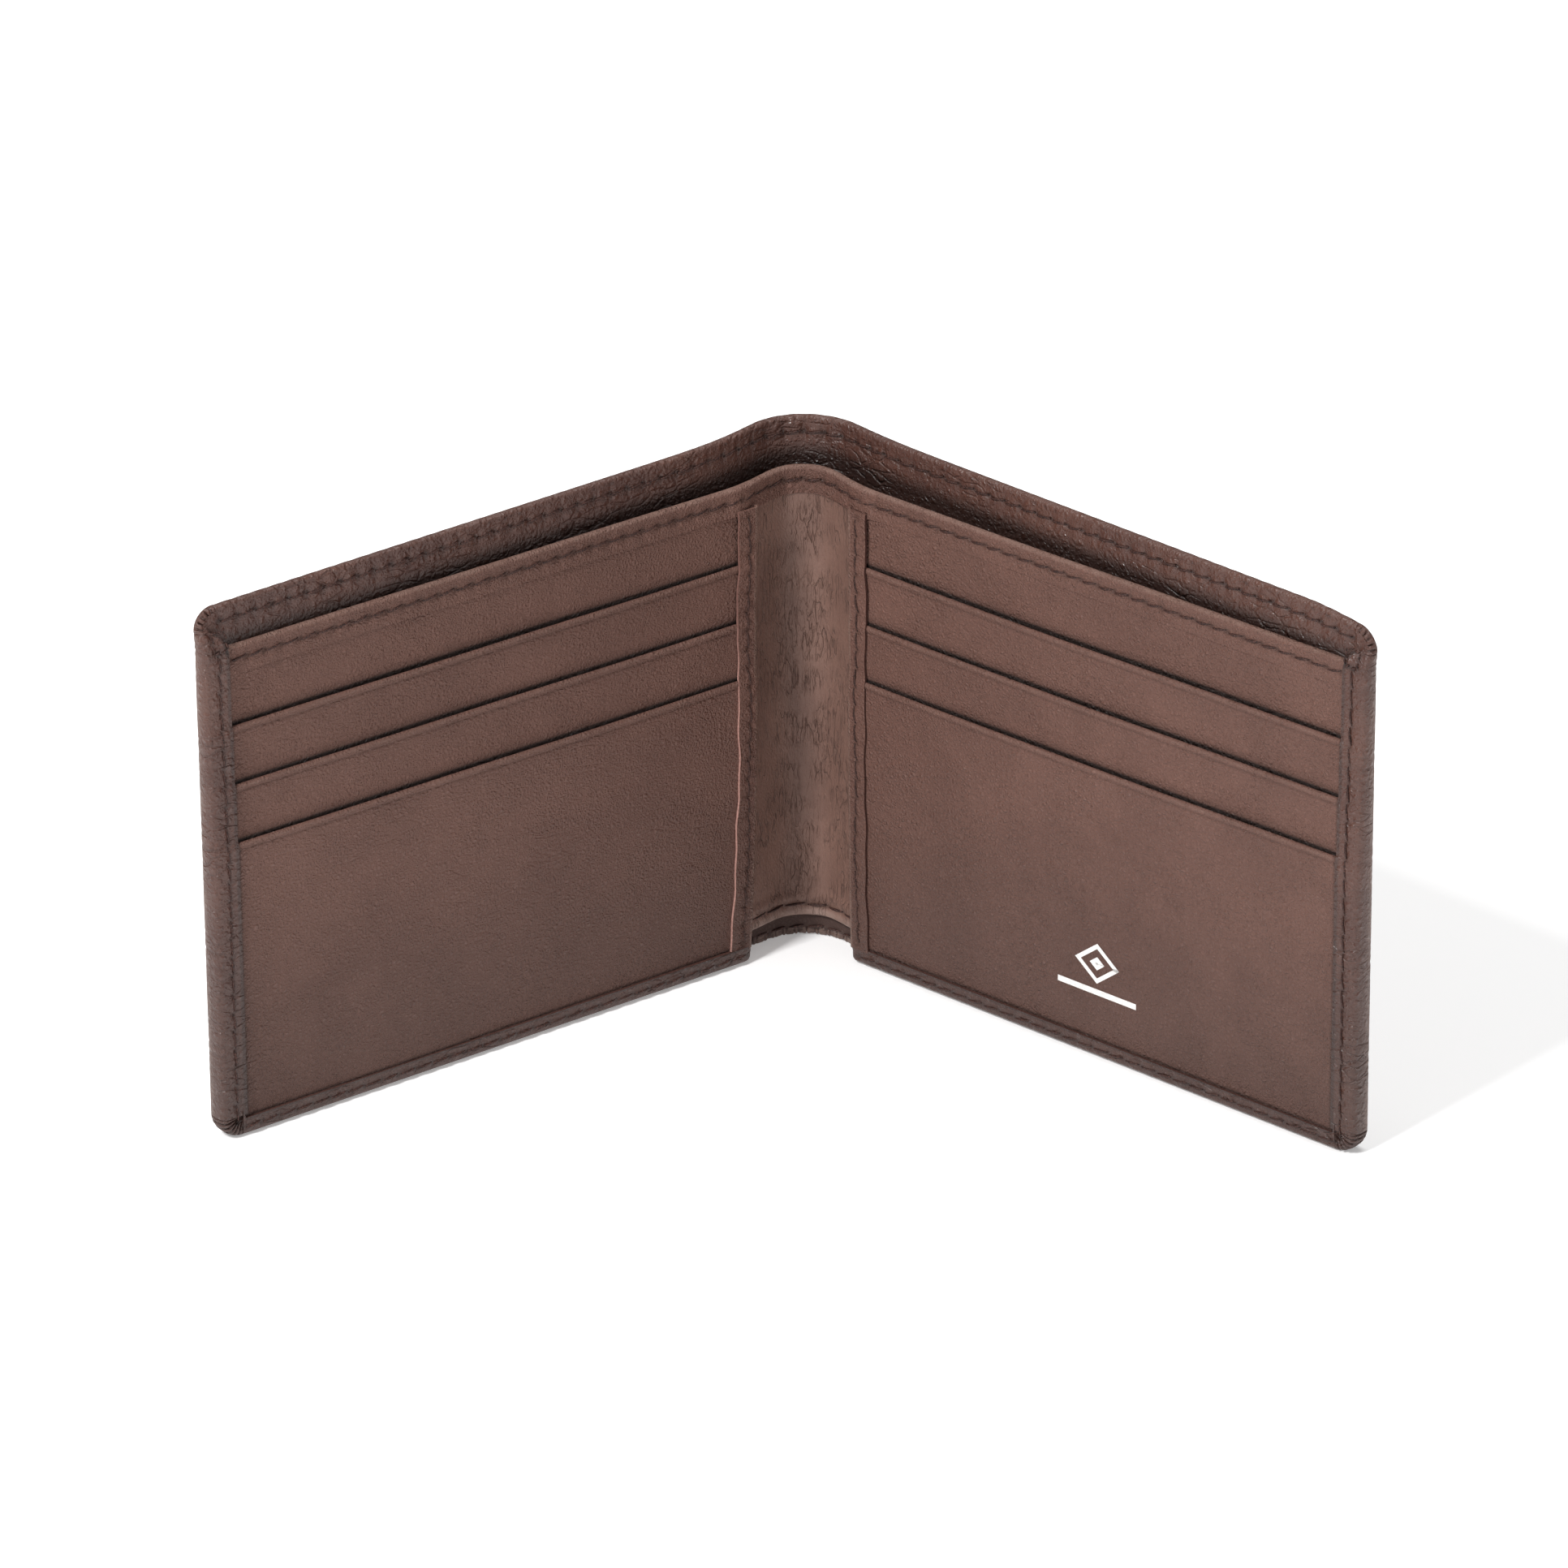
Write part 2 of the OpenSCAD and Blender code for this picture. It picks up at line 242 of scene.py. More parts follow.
def liner_path(t, end_s, end_y, apex_y):
    """The spine's inner leather in plan: places, and directions towards its back.

    It runs from the middle of the spine (t 0) to a point on the half (t 1), and on along the half, 1 mm for
    each 0.1 of t."""
    t = np.asarray(t, float)
    k = np.clip(t, 0, 1)
    end = np.array([HINGE_X + end_s * COS + end_y * SIN, HINGE_Y - end_s * SIN + end_y * COS])
    apex, after_apex = np.array([0, apex_y]), np.array([APEX_HANDLE, apex_y])
    points = [apex, after_apex, end + END_HANDLE * np.array([-COS, SIN]), end]
    weights = [(1 - k) ** 3, 3 * (1 - k) ** 2 * k, 3 * (1 - k) * k**2, k**3]
    place = sum(w[..., None] * p for w, p in zip(weights, points))
    rise = [(1 - k) ** 2, 2 * (1 - k) * k, k**2]
    slope = sum(w[..., None] * (b - a) for w, a, b in zip(rise, points, points[1:]))
    slope = slope / np.linalg.norm(slope, axis=-1, keepdims=True)
    place = place + np.maximum(t - 1, 0)[..., None] * 10 * np.array([COS, -SIN])
    back = np.stack([-slope[..., 1], slope[..., 0]], -1)
    return place, back


# ---- Meshes ----

MERGE_WIDTH = 0.004
SLIVER_WIDTH = 0.001


class Leather:
    """Grows a closed piece of leather from skins: grids of points with a front, a back and joined borders.

    A point's edge value is above 0 where the leather is painted paler, for wear and for highlights, and
    below 0 where shade is painted on it."""

    def __init__(self):
        self.points, self.faces, self.edge, self.kinds = [], [], [], []
        self.count = 0

    def grid(self, points, edge=0.0):
        rows, columns = points.shape[:2]
        index = self.count + np.arange(rows * columns).reshape(rows, columns)
        self.points.append(points.reshape(-1, 3))
        self.edge.append(np.broadcast_to(edge, (rows, columns)).reshape(-1))
        self.count += rows * columns
        return index

    def fill(self, index, kind=0):
        corners = [index[:-1, :-1], index[1:, :-1], index[1:, 1:], index[:-1, 1:]]
        quads = np.stack(corners, -1).reshape(-1, 4)
        self.faces.append(quads)
        self.kinds.append(np.full(len(quads), kind))

    def skins(self, front, back, edge_front=0.0, edge_back=0.0, close="abcd", raw=""):
        """a and b close the first and last row, c and d the first and last column.

        Those named in raw show a cut edge."""
        outer, inner = self.grid(front, edge_front), self.grid(back, edge_back)
        self.fill(outer)
        self.fill(inner)
        every = slice(None)
        borders = {"a": (0, every), "b": (-1, every), "c": (every, 0), "d": (every, -1)}
        for name in close:
            at = borders[name]
            self.fill(np.stack([outer[at], inner[at]]), 1 if name in raw else 0)

    def build(self, name, materials, sharp=48):
        mesh = bpy.data.meshes.new(name)
        points = np.concatenate(self.points)
        mesh.from_pydata((points * MM).tolist(), [], np.concatenate(self.faces).tolist())
        mesh.polygons.foreach_set("material_index", np.concatenate(self.kinds).astype(np.int32))
        edge = mesh.attributes.new("edge", "FLOAT", "POINT")
        edge.data.foreach_set("value", np.concatenate(self.edge).astype(np.float32))
        work = bmesh.new()
        work.from_mesh(mesh)
        bmesh.ops.remove_doubles(work, verts=work.verts, dist=MERGE_WIDTH * MM)
        bmesh.ops.dissolve_degenerate(work, edges=work.edges, dist=SLIVER_WIDTH * MM)
        bmesh.ops.recalc_face_normals(work, faces=work.faces)
        work.to_mesh(mesh)
        work.free()
        mesh.shade_smooth()
        mesh.set_sharp_from_angle(angle=math.radians(sharp))
        return finish_object(name, mesh, materials)


def finish_object(name, mesh, materials):
    """Makes the object, and keeps each point's place at rest for its material to use."""
    obj = bpy.data.objects.new(name, mesh)
    bpy.context.scene.collection.objects.link(obj)
    for material in materials:
        mesh.materials.append(material)
    store_rest(obj)
    return obj


def vectors_of(items, name):
    values = np.empty(len(items) * 3, np.float32)
    items.foreach_get(name, values)
    return values.reshape(-1, 3).astype(float)


def mesh_points(mesh):
    """All points of a mesh, in millimetres."""
    return vectors_of(mesh.vertices, "co") / MM


def store_rest(obj):
    """Stores each point's present place as its place at rest, in millimetres."""
    attributes = obj.data.attributes
    attribute = attributes.get("rest") or attributes.new("rest", "FLOAT_VECTOR", "POINT")
    attribute.data.foreach_set("vector", mesh_points(obj.data).astype(np.float32).ravel())


def move_points(obj, points):
    """Puts the mesh's points at new places, in millimetres."""
    obj.data.vertices.foreach_set("co", (points * MM).astype(np.float32).ravel())
    obj.data.update()


def spot(run, across, run_w, across_w):
    """1 in the middle of an oval, fading outwards."""
    return np.exp(-((run / run_w) ** 2) - (across / across_w) ** 2)


def press(obj, seams, hole=0.2, pucker=0.08, reach=1.9, painted_seam_shade=0.55):
    """Pulls the leather in at each stitch hole, puckers it across the seam and paints shade along it."""
    points, normals = mesh_points(obj.data), vectors_of(obj.data.vertex_normals, "vector")
    at_middle = np.abs(points[:, 0]) < 0.02
    normals[at_middle, 0] = 0  # so that the two halves of the spine's leather keep together
    sink = np.zeros(len(points))
    shade = np.zeros(len(points))
    for seam in seams:
        for place, along in zip(seam.holes, seam.along):
            offset = points - place
            near = np.flatnonzero((np.abs(offset) < 3 * reach).all(1))
            run = offset[near] @ along
            across = np.sqrt(np.maximum((offset[near] ** 2).sum(1) - run**2, 0))
            pit = hole * spot(run, across, 0.55, 0.5)
            pull = pucker * spot(run, across, 0.6, reach)
            sink[near] += pit + pull
            # painted shade along the seam
            shade[near] = np.maximum(shade[near], painted_seam_shade * spot(run, across, 0.7, 0.45))
    move_points(obj, points - normals * sink[:, None])
    edge = obj.data.attributes["edge"].data
    wear_and_painted_light = np.empty(len(points), np.float32)
    edge.foreach_get("value", wear_and_painted_light)
    edge.foreach_set("value", (wear_and_painted_light - shade).astype(np.float32))
    store_rest(obj)


# ---- Sewing ----


class Seam:
    """A row of stitches along a line on the leather."""

    def __init__(self, points, normals, pitch=PITCH):
        steps = np.linalg.norm(np.diff(points, axis=0), axis=1)
        length = np.concatenate([[0], np.cumsum(steps)])
        count = max(int(round(length[-1] / pitch)), 1)
        places = np.linspace(0, length[-1], count + 1)
        self.holes = np.stack([np.interp(places, length, points[:, i]) for i in range(3)], 1)
        normal = np.stack([np.interp(places, length, normals[:, i]) for i in range(3)], 1)
        self.normals = normal / np.linalg.norm(normal, axis=1, keepdims=True)
        along = np.gradient(self.holes, axis=0)
        self.along = along / np.linalg.norm(along, axis=1, keepdims=True)


def surface_normals(points, towards):
    """Normals of a line of points on upright leather: level, across the line, on the given side."""
    along = np.gradient(points, axis=0)
    level = np.cross(along, [0, 0, 1.0])
    level /= np.maximum(np.linalg.norm(level, axis=1, keepdims=True), 1e-9)
    return level * np.sign(level @ np.asarray(towards, float))[:, None]


def stitch_tube(start, end, normal, across, radius, slant, height):
    """Rings of points of one thread that rises from a hole, lies on the leather and dives into the next."""
    rings, sides, sunk = 8, 8, 0.18
    t = np.linspace(0, 1, rings)[:, None]
    arch = np.sin(math.pi * t) ** 0.6
    line = start + (end - start) * t + normal * (height * arch - sunk) + across * slant * (t - 0.5)
    turn = np.linspace(0, 2 * math.pi, sides, endpoint=False)
    swell = radius * (0.55 + 0.45 * np.sin(math.pi * t))
    ring = np.cos(turn)[None, :, None] * normal + np.sin(turn)[None, :, None] * across
    return line[:, None, :] + swell[:, None] * ring


def sew(name, seams, material, radius=0.2, slant=0.32, height=0.22, gap=0.4):
    """Joins the stitches of several seams into one piece."""
    points, faces, count = [], [], 0
    for number, seam in enumerate(seams):
        random = np.random.default_rng(7 + number + len(name))
        for i in range(len(seam.holes) - 1):
            start, end = seam.holes[i], seam.holes[i + 1]
            along = (end - start) / np.linalg.norm(end - start)
            normal = seam.normals[i]
            across = np.cross(normal, along)
            lean = slant * random.uniform(0.6, 1.4)
            thick = radius * random.uniform(0.9, 1.1)
            high = height * random.uniform(0.8, 1.15)
            rise, dive = start + along * gap / 2, end - along * gap / 2
            tube = stitch_tube(rise, dive, normal, across, thick, lean, high)
            rings, sides = tube.shape[:2]
            index = count + np.arange(rings * sides).reshape(rings, sides)
            points.append(tube.reshape(-1, 3))
            for j in range(rings - 1):
                for k in range(sides):
                    n = (k + 1) % sides
                    faces.append((index[j, k], index[j, n], index[j + 1, n], index[j + 1, k]))
            faces.append(tuple(index[0][::-1]))
            faces.append(tuple(index[-1]))
            count += rings * sides
    mesh = bpy.data.meshes.new(name)
    mesh.from_pydata((np.concatenate(points) * MM).tolist(), [], [tuple(map(int, f)) for f in faces])
    mesh.shade_smooth()
    return finish_object(name, mesh, [material])


# ---- Riding ----


def bend(obj, side):
    """The piece follows the spine in its middle and its half past the hinge."""
    half = SIGN[side] * BLEND_W * MM
    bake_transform(obj, "spine", f"{side}_half", start=(0, HINGE_Y * MM, 0), end=(half, HINGE_Y * MM, 0))


# ---- Materials ----


def add(tree, kind, inputs=None, **settings):
    """A node with its settings, and its inputs as values or as the sockets that feed them."""
    node = tree.nodes.new(kind)
    for key, value in settings.items():
        setattr(node, key, value)
    for key, value in (inputs or {}).items():
        if isinstance(value, bpy.types.NodeSocket):
            tree.links.new(value, node.inputs[key])
        else:
            node.inputs[key].default_value = value
    return node


def new_material(name, roughness, specular):
    """A material, its node tree and its shader."""
    material = bpy.data.materials.new(name)
    material.use_nodes = True
    tree = material.node_tree
    shader = tree.nodes["Principled BSDF"]
    shader.inputs["Roughness"].default_value = roughness
    shader.inputs["Specular IOR Level"].default_value = specular
    return material, tree, shader


def rest_place(tree, scale=(1, 1, 1)):
    """The leather's place at rest, in millimetres and scaled, so that the grain moves with it."""
    place = add(tree, "ShaderNodeAttribute", attribute_name="rest")
    return add(tree, "ShaderNodeMapping", {"Vector": place.outputs["Vector"], "Scale": scale}).outputs[0]


def noise_of(tree, place, scale, detail=2.0, rough=0.5):
    inputs = {"Vector": place, "Scale": scale, "Detail": detail, "Roughness": rough}
    return add(tree, "ShaderNodeTexNoise", inputs).outputs["Fac"]


def math_of(tree, operation, a, b=0.0, clamp=False):
    node = add(tree, "ShaderNodeMath", {0: a, 1: b}, operation=operation, use_clamp=clamp)
    return node.outputs[0]


def chain_of(tree, operation, values):
    result = values[0]
    for value in values[1:]:
        result = math_of(tree, operation, result, value)
    return result


def sum_of(tree, *values):
    return chain_of(tree, "ADD", values)


def product_of(tree, *values):
    return chain_of(tree, "MULTIPLY", values)


def range_of(tree, value, low, high, to_low=0.0, to_high=1.0):
    """A smooth step from one value to another, where the input goes from low to high."""
    inputs = {"Value": value, "From Min": low, "From Max": high, "To Min": to_low, "To Max": to_high}
    return add(tree, "ShaderNodeMapRange", inputs, interpolation_type="SMOOTHSTEP").outputs[0]


def mix_of(tree, factor, a, b):
    return add(tree, "ShaderNodeMix", {0: factor, 6: a, 7: b}, data_type="RGBA").outputs[2]


def rgb(red, green, blue):
    return (red, green, blue, 1.0)


def dimmed(colour, factor):
    return rgb(*(factor * value for value in colour))


def height_of(tree, place):
    return add(tree, "ShaderNodeSeparateXYZ", {0: place}).outputs[2]


def dress(tree, shader, colour, height, strength=1.0, depth=1.0):
    """Gives the shader its colour, and a bump whose height of 1 is a depth in millimetres."""
    bumped = add(tree, "ShaderNodeBump", {"Height": height, "Strength": strength, "Distance": depth * MM})
    tree.links.new(colour, shader.inputs["Base Color"])
    tree.links.new(bumped.outputs[0], shader.inputs["Normal"])


def warped(tree, place, scale, amount):
    """The place, pushed about by noise, so that cells aren't regular."""
    noise = add(tree, "ShaderNodeTexNoise", {"Vector": place, "Scale": scale, "Detail": 1.0})
    middle = {0: noise.outputs["Color"], 1: (0.5, 0.5, 0.5)}
    push = add(tree, "ShaderNodeVectorMath", middle, operation="SUBTRACT")
    size = add(tree, "ShaderNodeVectorMath", {0: push.outputs[0], "Scale": amount}, operation="SCALE")
    return add(tree, "ShaderNodeVectorMath", {0: place, 1: size.outputs[0]}, operation="ADD").outputs[0]


def cells(tree, place, scale, low, high):
    """Rounded cells between valleys."""
    node = add(tree, "ShaderNodeTexVoronoi", {"Vector": place, "Scale": scale}, feature="DISTANCE_TO_EDGE")
    return range_of(tree, node.outputs["Distance"], low, high)


def upright_cracks(tree, place, scale, width):
    """1 along wandering lines, 0 between them."""
    drift = math_of(tree, "SUBTRACT", noise_of(tree, place, scale, 2.0), 0.5)
    return range_of(tree, math_of(tree, "ABSOLUTE", drift), 0.0, width, 1.0, 0.0)


def painted_shade_low(tree, place, colour):
    """Painted shade: the leather is darker towards its lower edge, where less light reaches."""
    share = range_of(tree, height_of(tree, place), 0.0, 50.0, 0.4, 0.0)
    return mix_of(tree, share, colour, rgb(0.03, 0.018, 0.015))


def wear_with_painted_light(tree, place, colour, pale, dark):
    """Paler where wear and highlights are painted (edge above 0), and darker where shade is painted in
    grooves, creases and recesses (edge below 0).
    """
    edge = add(tree, "ShaderNodeAttribute", attribute_name="edge").outputs["Fac"]
    wear_and_painted_light = math_of(tree, "MAXIMUM", edge, 0.0)
    patches = range_of(tree, noise_of(tree, place, 0.35, 3.0), 0.25, 0.65, 0.35, 1.0)
    colour = mix_of(tree, product_of(tree, wear_and_painted_light, patches), colour, rgb(*pale))
    painted_groove_shade = math_of(tree, "MULTIPLY", math_of(tree, "MINIMUM", edge, 0.0), -0.9, clamp=True)
    return mix_of(tree, painted_groove_shade, colour, dimmed(dark, 0.12))


def leather_material(
    name, base, dark, edge, cell, cell_depth, fine_depth, fold_depth=0.0, roughness=0.5, specular=0.35
):
    """Grained leather: cells of a size in mm, fine pores, faint folds, cloudy colour and darker valleys."""
    material, tree, shader = new_material(name, roughness, specular)
    place = rest_place(tree)
    grain_place = warped(tree, place, 0.9 / cell, cell * 0.55)
    grain = cells(tree, grain_place, 1 / cell, 0.0, 0.55)
    small = cells(tree, grain_place, 2.3 / cell, 0.0, 0.6)
    strength = range_of(tree, noise_of(tree, place, 0.13, 3.0), 0.3, 0.7, 0.45, 1.0)
    pores = noise_of(tree, place, 2.6, 3.0, 0.6)
    folds = cells(tree, warped(tree, rest_place(tree, (0.8, 0.8, 1.7)), 0.35, 1.6), 0.33, 0.0, 0.14)
    where = range_of(tree, noise_of(tree, place, 0.09, 3.0), 0.42, 0.62)
    height = sum_of(
        tree,
        product_of(tree, grain, strength, cell_depth),
        product_of(tree, small, cell_depth * 0.4),
        product_of(tree, pores, fine_depth),
        product_of(tree, folds, where, fold_depth),
    )
    cloud = range_of(tree, noise_of(tree, place, 0.06, 4.0, 0.6), 0.3, 0.7)
    colour = mix_of(tree, cloud, rgb(*dark), rgb(*base))
    valley = range_of(tree, grain, 0.0, 0.7, 0.22, 0.0)
    colour = mix_of(tree, valley, colour, dimmed(dark, 0.5))
    colour = painted_shade_low(tree, place, colour)
    colour = wear_with_painted_light(tree, place, colour, edge, dark)
    dress(tree, shader, colour, height)
    polish = range_of(tree, grain, 0.0, 1.0, roughness + 0.16, roughness - 0.05)
    tree.links.new(polish, shader.inputs["Roughness"])
    return material


def crackle_material(name, base, dark, edge):
    """The spine's worn inner leather: fine upright cracks over fine grain."""
    material, tree, shader = new_material(name, 0.5, 0.32)
    place = rest_place(tree)
    tall = warped(tree, rest_place(tree, (1.0, 1.0, 0.2)), 0.5, 0.5)
    crack = upright_cracks(tree, tall, 0.95, 0.028)
    hair = upright_cracks(tree, tall, 2.1, 0.04)
    where = range_of(tree, noise_of(tree, place, 0.2, 3.0), 0.36, 0.6, 0.15, 1.0)
    pebbles = cells(tree, warped(tree, rest_place(tree, (1.0, 1.0, 0.6)), 1.6, 0.4), 1.9, 0.0, 0.5)
    opening = product_of(tree, sum_of(tree, crack, product_of(tree, hair, 0.45)), where)
    height = sum_of(
        tree,
        product_of(tree, pebbles, 0.05),
        product_of(tree, opening, -0.13),
        product_of(tree, noise_of(tree, place, 4.0, 3.0), 0.03),
    )
    cloud = range_of(tree, noise_of(tree, place, 0.08, 4.0, 0.6), 0.3, 0.7)
    colour = mix_of(tree, cloud, rgb(*dark), rgb(*base))
    split = math_of(tree, "MULTIPLY", opening, 0.4, clamp=True)
    colour = mix_of(tree, split, colour, dimmed(dark, 0.3))
    colour = wear_with_painted_light(tree, place, colour, edge, dark)
    dress(tree, shader, colour, height)
    return material


def thread_material(name, base, glint):
    """Twisted thread, with a painted glint in patches."""
    material, tree, shader = new_material(name, 0.55, 0.3)
    fibre = noise_of(tree, rest_place(tree), 6.0, 3.0, 0.65)
    colour = mix_of(tree, range_of(tree, fibre, 0.4, 0.7), rgb(*base), rgb(*glint))
    dress(tree, shader, colour, fibre, strength=0.8, depth=0.1)
    return material


def raw_material(name, base, dark, top):
    """The fibres of a cut edge, with another colour towards its top."""
    material, tree, shader = new_material(name, 0.85, 0.15)
    place = rest_place(tree)
    fibre = noise_of(tree, place, 3.5, 4.0, 0.7)
    colour = mix_of(tree, range_of(tree, fibre, 0.35, 0.65), rgb(*dark), rgb(*base))
    high_up = range_of(tree, height_of(tree, place), 46.0, 66.0, 0.0, 0.8)
    colour = mix_of(tree, high_up, colour, rgb(*top))
    dress(tree, shader, colour, fibre, strength=0.7, depth=0.15)
    return material


def foil_material():
    """Silver foil, pressed into the leather."""
    material, tree, shader = new_material("silver foil", 0.34, 0.5)
    shader.inputs["Metallic"].default_value = 0.55
    grain = noise_of(tree, rest_place(tree), 3.0, 3.0)
    colour = mix_of(tree, range_of(tree, grain, 0.3, 0.7), rgb(0.78, 0.76, 0.74), rgb(0.95, 0.94, 0.92))
    dress(tree, shader, colour, grain, strength=0.35, depth=0.1)
    return material


OUTER = leather_material(
    "pebbled leather", (0.112, 0.047, 0.033), (0.080, 0.032, 0.023), (0.215, 0.138, 0.108),
    cell=1.15, cell_depth=0.24, fine_depth=0.03, fold_depth=0.21, roughness=0.34, specular=0.55,
)
INNER = leather_material(
    "smooth leather", (0.176, 0.086, 0.065), (0.144, 0.069, 0.052), (0.245, 0.155, 0.124),
    cell=0.7, cell_depth=0.3, fine_depth=0.22, fold_depth=0.1, roughness=0.43,
)
LINING = leather_material(
    "lining leather", (0.105, 0.056, 0.045), (0.080, 0.042, 0.034), (0.130, 0.075, 0.060),
    cell=0.7, cell_depth=0.06, fine_depth=0.02, roughness=0.6,
)
BOARD = leather_material(
    "fibre board", (0.400, 0.300, 0.220), (0.330, 0.245, 0.180), (0.420, 0.320, 0.240),
    cell=1.6, cell_depth=0.03, fine_depth=0.05, roughness=0.85, specular=0.1,
)
CRACKLE = crackle_material(
    "crackled leather", (0.208, 0.118, 0.092), (0.162, 0.090, 0.070), (0.300, 0.205, 0.172),
)
THREAD = thread_material("brown thread", (0.014, 0.006, 0.005), (0.120, 0.052, 0.040))
RAW_DARK = raw_material(
    "dark cut edge", (0.100, 0.045, 0.036), (0.050, 0.024, 0.019), (0.080, 0.036, 0.029),
)
RAW_PALE = raw_material(
    "pale cut edge", (0.480, 0.270, 0.230), (0.300, 0.160, 0.135), (0.120, 0.055, 0.044),
)
FOIL = foil_material()


# ---- The shell ----


def along_outline():
    """Columns and rows of a half, and its outline: places, inward directions, and 1 on its corners."""
    step, spine_step = 0.6, 0.17
    spine_end = ARC_U + 9.5
    at_spine = np.arange(0, spine_end, spine_step)
    on_half = np.linspace(spine_end, U_END - CORNER_R, int(OUTER_END / step))
    columns = np.concatenate([at_spine, on_half])
    rows = np.linspace(CORNER_R, WALLET_H - CORNER_R, int(WALLET_H / step))
    turn = np.linspace(0, math.pi / 2, 40)[1:-1]
    cos, sin = np.cos(turn), np.sin(turn)
    corner_u, low_z, high_z = U_END - CORNER_R, CORNER_R, WALLET_H - CORNER_R
    parts = [
        (columns, 0 * columns, 0 * columns, 0 * columns + 1),
        (corner_u + CORNER_R * sin, low_z - CORNER_R * cos, -sin, cos),
        (0 * rows + U_END, rows, 0 * rows - 1, 0 * rows),
        (corner_u + CORNER_R * cos, high_z + CORNER_R * sin, -cos, -sin),
        (columns[::-1], 0 * columns + WALLET_H, 0 * columns, 0 * columns - 1),
    ]
    u, z, du, dz = (np.concatenate([part[i] for part in parts]) for i in range(4))
    corner = np.concatenate([np.full(len(part[0]), number % 2) for number, part in enumerate(parts)])
    return columns, rows, u, z, du, dz, corner


def over_panel_at(side, u):
    """0 where the turned bottom edge lies on the spine's leather, 1 where it covers the card panel."""
    fold = ARC_U + fold_s(side, 3.0)
    return smooth(u, fold - 3.2, fold + 1.6)


def shell_profile(side, u, z, on_top):
    """The turned edge across the outline: insets and depths of its outer skin, then of its inner skin."""
    over_panel = over_panel_at(side, u)
    share = np.where(on_top, 0, np.where(z < WALLET_H / 2, 1, side_share(z)))
    full = SHELL_T + over_panel * (flange_depth(u, z) - SHELL_T)
    depth = SHELL_T + share * (full - SHELL_T) + (1 - over_panel) * share * SPINE_TURN_T
    flange = share * FLANGE_T
    roll = np.minimum(0.5 * depth, 1.5) * 0.95
    near_bottom = smooth(z, CORNER_R + 2, CORNER_R - 1) * (u < U_END - CORNER_R)
    width = FLANGE_SIDE_W + near_bottom * (FLANGE_BOTTOM_W - FLANGE_SIDE_W)
    at_corner = (u > U_END - CORNER_R) & ((z < CORNER_R) | (z > WALLET_H - CORNER_R))
    width = np.where(at_corner, CORNER_R, width)
    fold = ARC_U + fold_s(side, 3.0)
    width = width + near_bottom * smooth(u, fold + 0.2, fold - 1.8) * SPINE_TURN_EXTRA_W
    width = roll + share * (width - roll)
    bend_inset = roll - share * (roll - 0.75)
    flat = np.linspace(0, 1, 6)[:-1]
    angle = np.linspace(0, math.pi, 15)
    round_in = np.sin(angle).clip(0, 1) ** 0.7
    round_out = np.sign(np.cos(angle)) * np.abs(np.cos(angle)) ** 0.8
    run = np.linspace(0, 1, 9)[1:]
    depth, inner_end, roll = depth[:, None], (depth - flange)[:, None], roll[:, None]
    width, bend_inset = width[:, None], bend_inset[:, None]
    start, leg = CORNER_R + flat * (roll - CORNER_R), roll + run * (width - roll)
    outer_inset = [start, roll * (1 - round_in), leg]
    outer_depth = [0 * start, depth / 2 * (1 - round_out), depth + 0 * leg]
    inner_inset = [start, roll - (roll - bend_inset) * np.sin(angle), leg]
    inner_turn = SHELL_T + (inner_end - SHELL_T) / 2 * (1 - np.cos(angle))
    inner_depth = [SHELL_T + 0 * start, inner_turn, inner_end + 0 * leg]
    return [np.concatenate(part, 1) for part in (outer_inset, outer_depth, inner_inset, inner_depth)]


